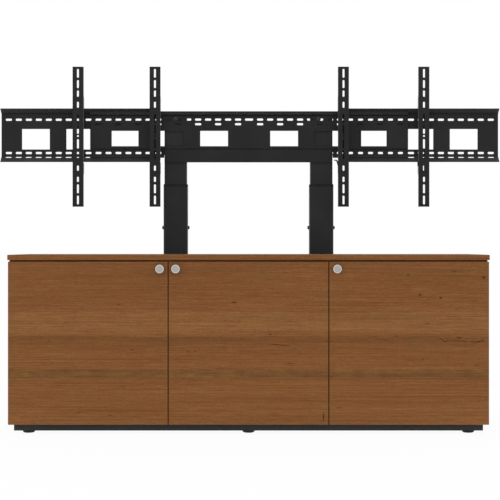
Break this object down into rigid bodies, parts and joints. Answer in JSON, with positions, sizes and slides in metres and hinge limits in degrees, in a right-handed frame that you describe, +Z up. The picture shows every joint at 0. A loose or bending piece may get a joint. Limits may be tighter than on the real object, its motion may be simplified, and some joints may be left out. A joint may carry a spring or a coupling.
{
  "type": "av credenza with display lift",
  "caption": "Wood-faced media cabinet with hinged doors and a twin-column lift behind it that raises a slotted rail mount with sliding display arms.",
  "frame": {"origin": "on the floor, under the middle of the whole object", "axes": "+X to the right seen from the front, +Y towards the back, +Z up"},
  "size_m": [2.268, 0.7156, 1.5947],
  "materials": {
    "cherry": "satin cherry laminate with horizontal grain",
    "board": "plain brown melamine board",
    "black_steel": "black powder coat",
    "black_plastic": "matt black moulding",
    "satin_nickel": "satin nickel",
    "bright_steel": "nickel-plated steel"
  },
  "bodies": {
    "cabinet": {"top_panel": "cherry", "sub_top_panel": "board", "bottom_panel": "board", "left_side_panel": "cherry", "right_side_panel": "cherry", "left_divider": "board", "right_divider": "board", "left_back_panel": "board", "middle_back_panel": "board", "right_back_panel": "board", "left_shelf": "board", "middle_shelf": "board", "right_shelf": "board", "plinth_frame": "black_steel", "front_left_foot": "black_plastic", "front_middle_foot": "black_plastic", "front_right_foot": "black_plastic", "back_left_foot": "black_plastic", "back_middle_foot": "black_plastic", "back_right_foot": "black_plastic", "left_door_lower_hinge_arm": "bright_steel", "left_door_upper_hinge_arm": "bright_steel", "middle_door_lower_hinge_arm": "bright_steel", "middle_door_upper_hinge_arm": "bright_steel", "right_door_lower_hinge_arm": "bright_steel", "right_door_upper_hinge_arm": "bright_steel", "left_outer_tube": "black_steel", "right_outer_tube": "black_steel", "left_column_collar": "black_plastic", "right_column_collar": "black_plastic", "left_floor_plate": "black_steel", "right_floor_plate": "black_steel", "left_column_saddle": "black_steel", "right_column_saddle": "black_steel", "left_drive_motor": "black_plastic", "right_drive_motor": "black_plastic"},
    "left_door_leaf": {"left_door": "cherry", "left_knob": "satin_nickel", "left_door_lower_hinge_cup": "bright_steel", "left_door_upper_hinge_cup": "bright_steel"},
    "middle_door_leaf": {"middle_door": "cherry", "middle_knob": "satin_nickel", "middle_door_lower_hinge_cup": "bright_steel", "middle_door_upper_hinge_cup": "bright_steel"},
    "right_door_leaf": {"right_door": "cherry", "right_knob": "satin_nickel", "right_door_lower_hinge_cup": "bright_steel", "right_door_upper_hinge_cup": "bright_steel"},
    "lift": {"left_inner_tube": "black_steel", "right_inner_tube": "black_steel", "crossbar": "black_steel", "centre_plate": "black_steel", "left_wing_plate": "black_steel", "right_wing_plate": "black_steel"},
    "left_outer_arm": {"left_outer_display_arm": "black_steel"},
    "left_inner_arm": {"left_inner_display_arm": "black_steel"},
    "right_inner_arm": {"right_inner_display_arm": "black_steel"},
    "right_outer_arm": {"right_outer_display_arm": "black_steel"},
    "left_screw": {"left_spindle": "bright_steel"},
    "right_screw": {"right_spindle": "bright_steel"}
  },
  "joints": [
    {"name": "left_door_hinge", "type": "hinge", "parent": "cabinet", "child": "left_door_leaf", "pos_m": [-0.9965, -0.3268, 0.04], "axis": [0, 0, -1], "range_deg": [0, 110]},
    {"name": "middle_door_hinge", "type": "hinge", "parent": "cabinet", "child": "middle_door_leaf", "pos_m": [0.31817, -0.3268, 0.04], "axis": [0, 0, 1], "range_deg": [0, 90]},
    {"name": "right_door_hinge", "type": "hinge", "parent": "cabinet", "child": "right_door_leaf", "pos_m": [0.9845, -0.3268, 0.04], "axis": [0, 0, 1], "range_deg": [0, 110]},
    {"name": "lift_slide", "type": "slide", "parent": "cabinet", "child": "lift", "axis": [0, 0, 1], "range_m": [-0.095, 0.505]},
    {"name": "left_outer_arm_slide", "type": "slide", "parent": "lift", "child": "left_outer_arm", "axis": [1, 0, 0], "range_m": [-0.3, 0.14]},
    {"name": "left_inner_arm_slide", "type": "slide", "parent": "lift", "child": "left_inner_arm", "axis": [1, 0, 0], "range_m": [-0.14, 0]},
    {"name": "right_inner_arm_slide", "type": "slide", "parent": "lift", "child": "right_inner_arm", "axis": [1, 0, 0], "range_m": [0, 0.14]},
    {"name": "right_outer_arm_slide", "type": "slide", "parent": "lift", "child": "right_outer_arm", "axis": [1, 0, 0], "range_m": [-0.14, 0.3]},
    {"name": "left_spindle_turn", "type": "hinge", "parent": "cabinet", "child": "left_screw", "pos_m": [-0.33917, 0.2828, 0.5], "axis": [0, 0, 1], "range_deg": [-1720, 9100]},
    {"name": "right_spindle_turn", "type": "hinge", "parent": "cabinet", "child": "right_screw", "pos_m": [0.32717, 0.2828, 0.5], "axis": [0, 0, 1], "range_deg": [-1720, 9100]}
  ],
  "couplings": [
    {"joint": "left_spindle_turn", "follows": "lift_slide", "rad_per_m": 314.16},
    {"joint": "right_spindle_turn", "follows": "lift_slide", "rad_per_m": 314.16}
  ]
}
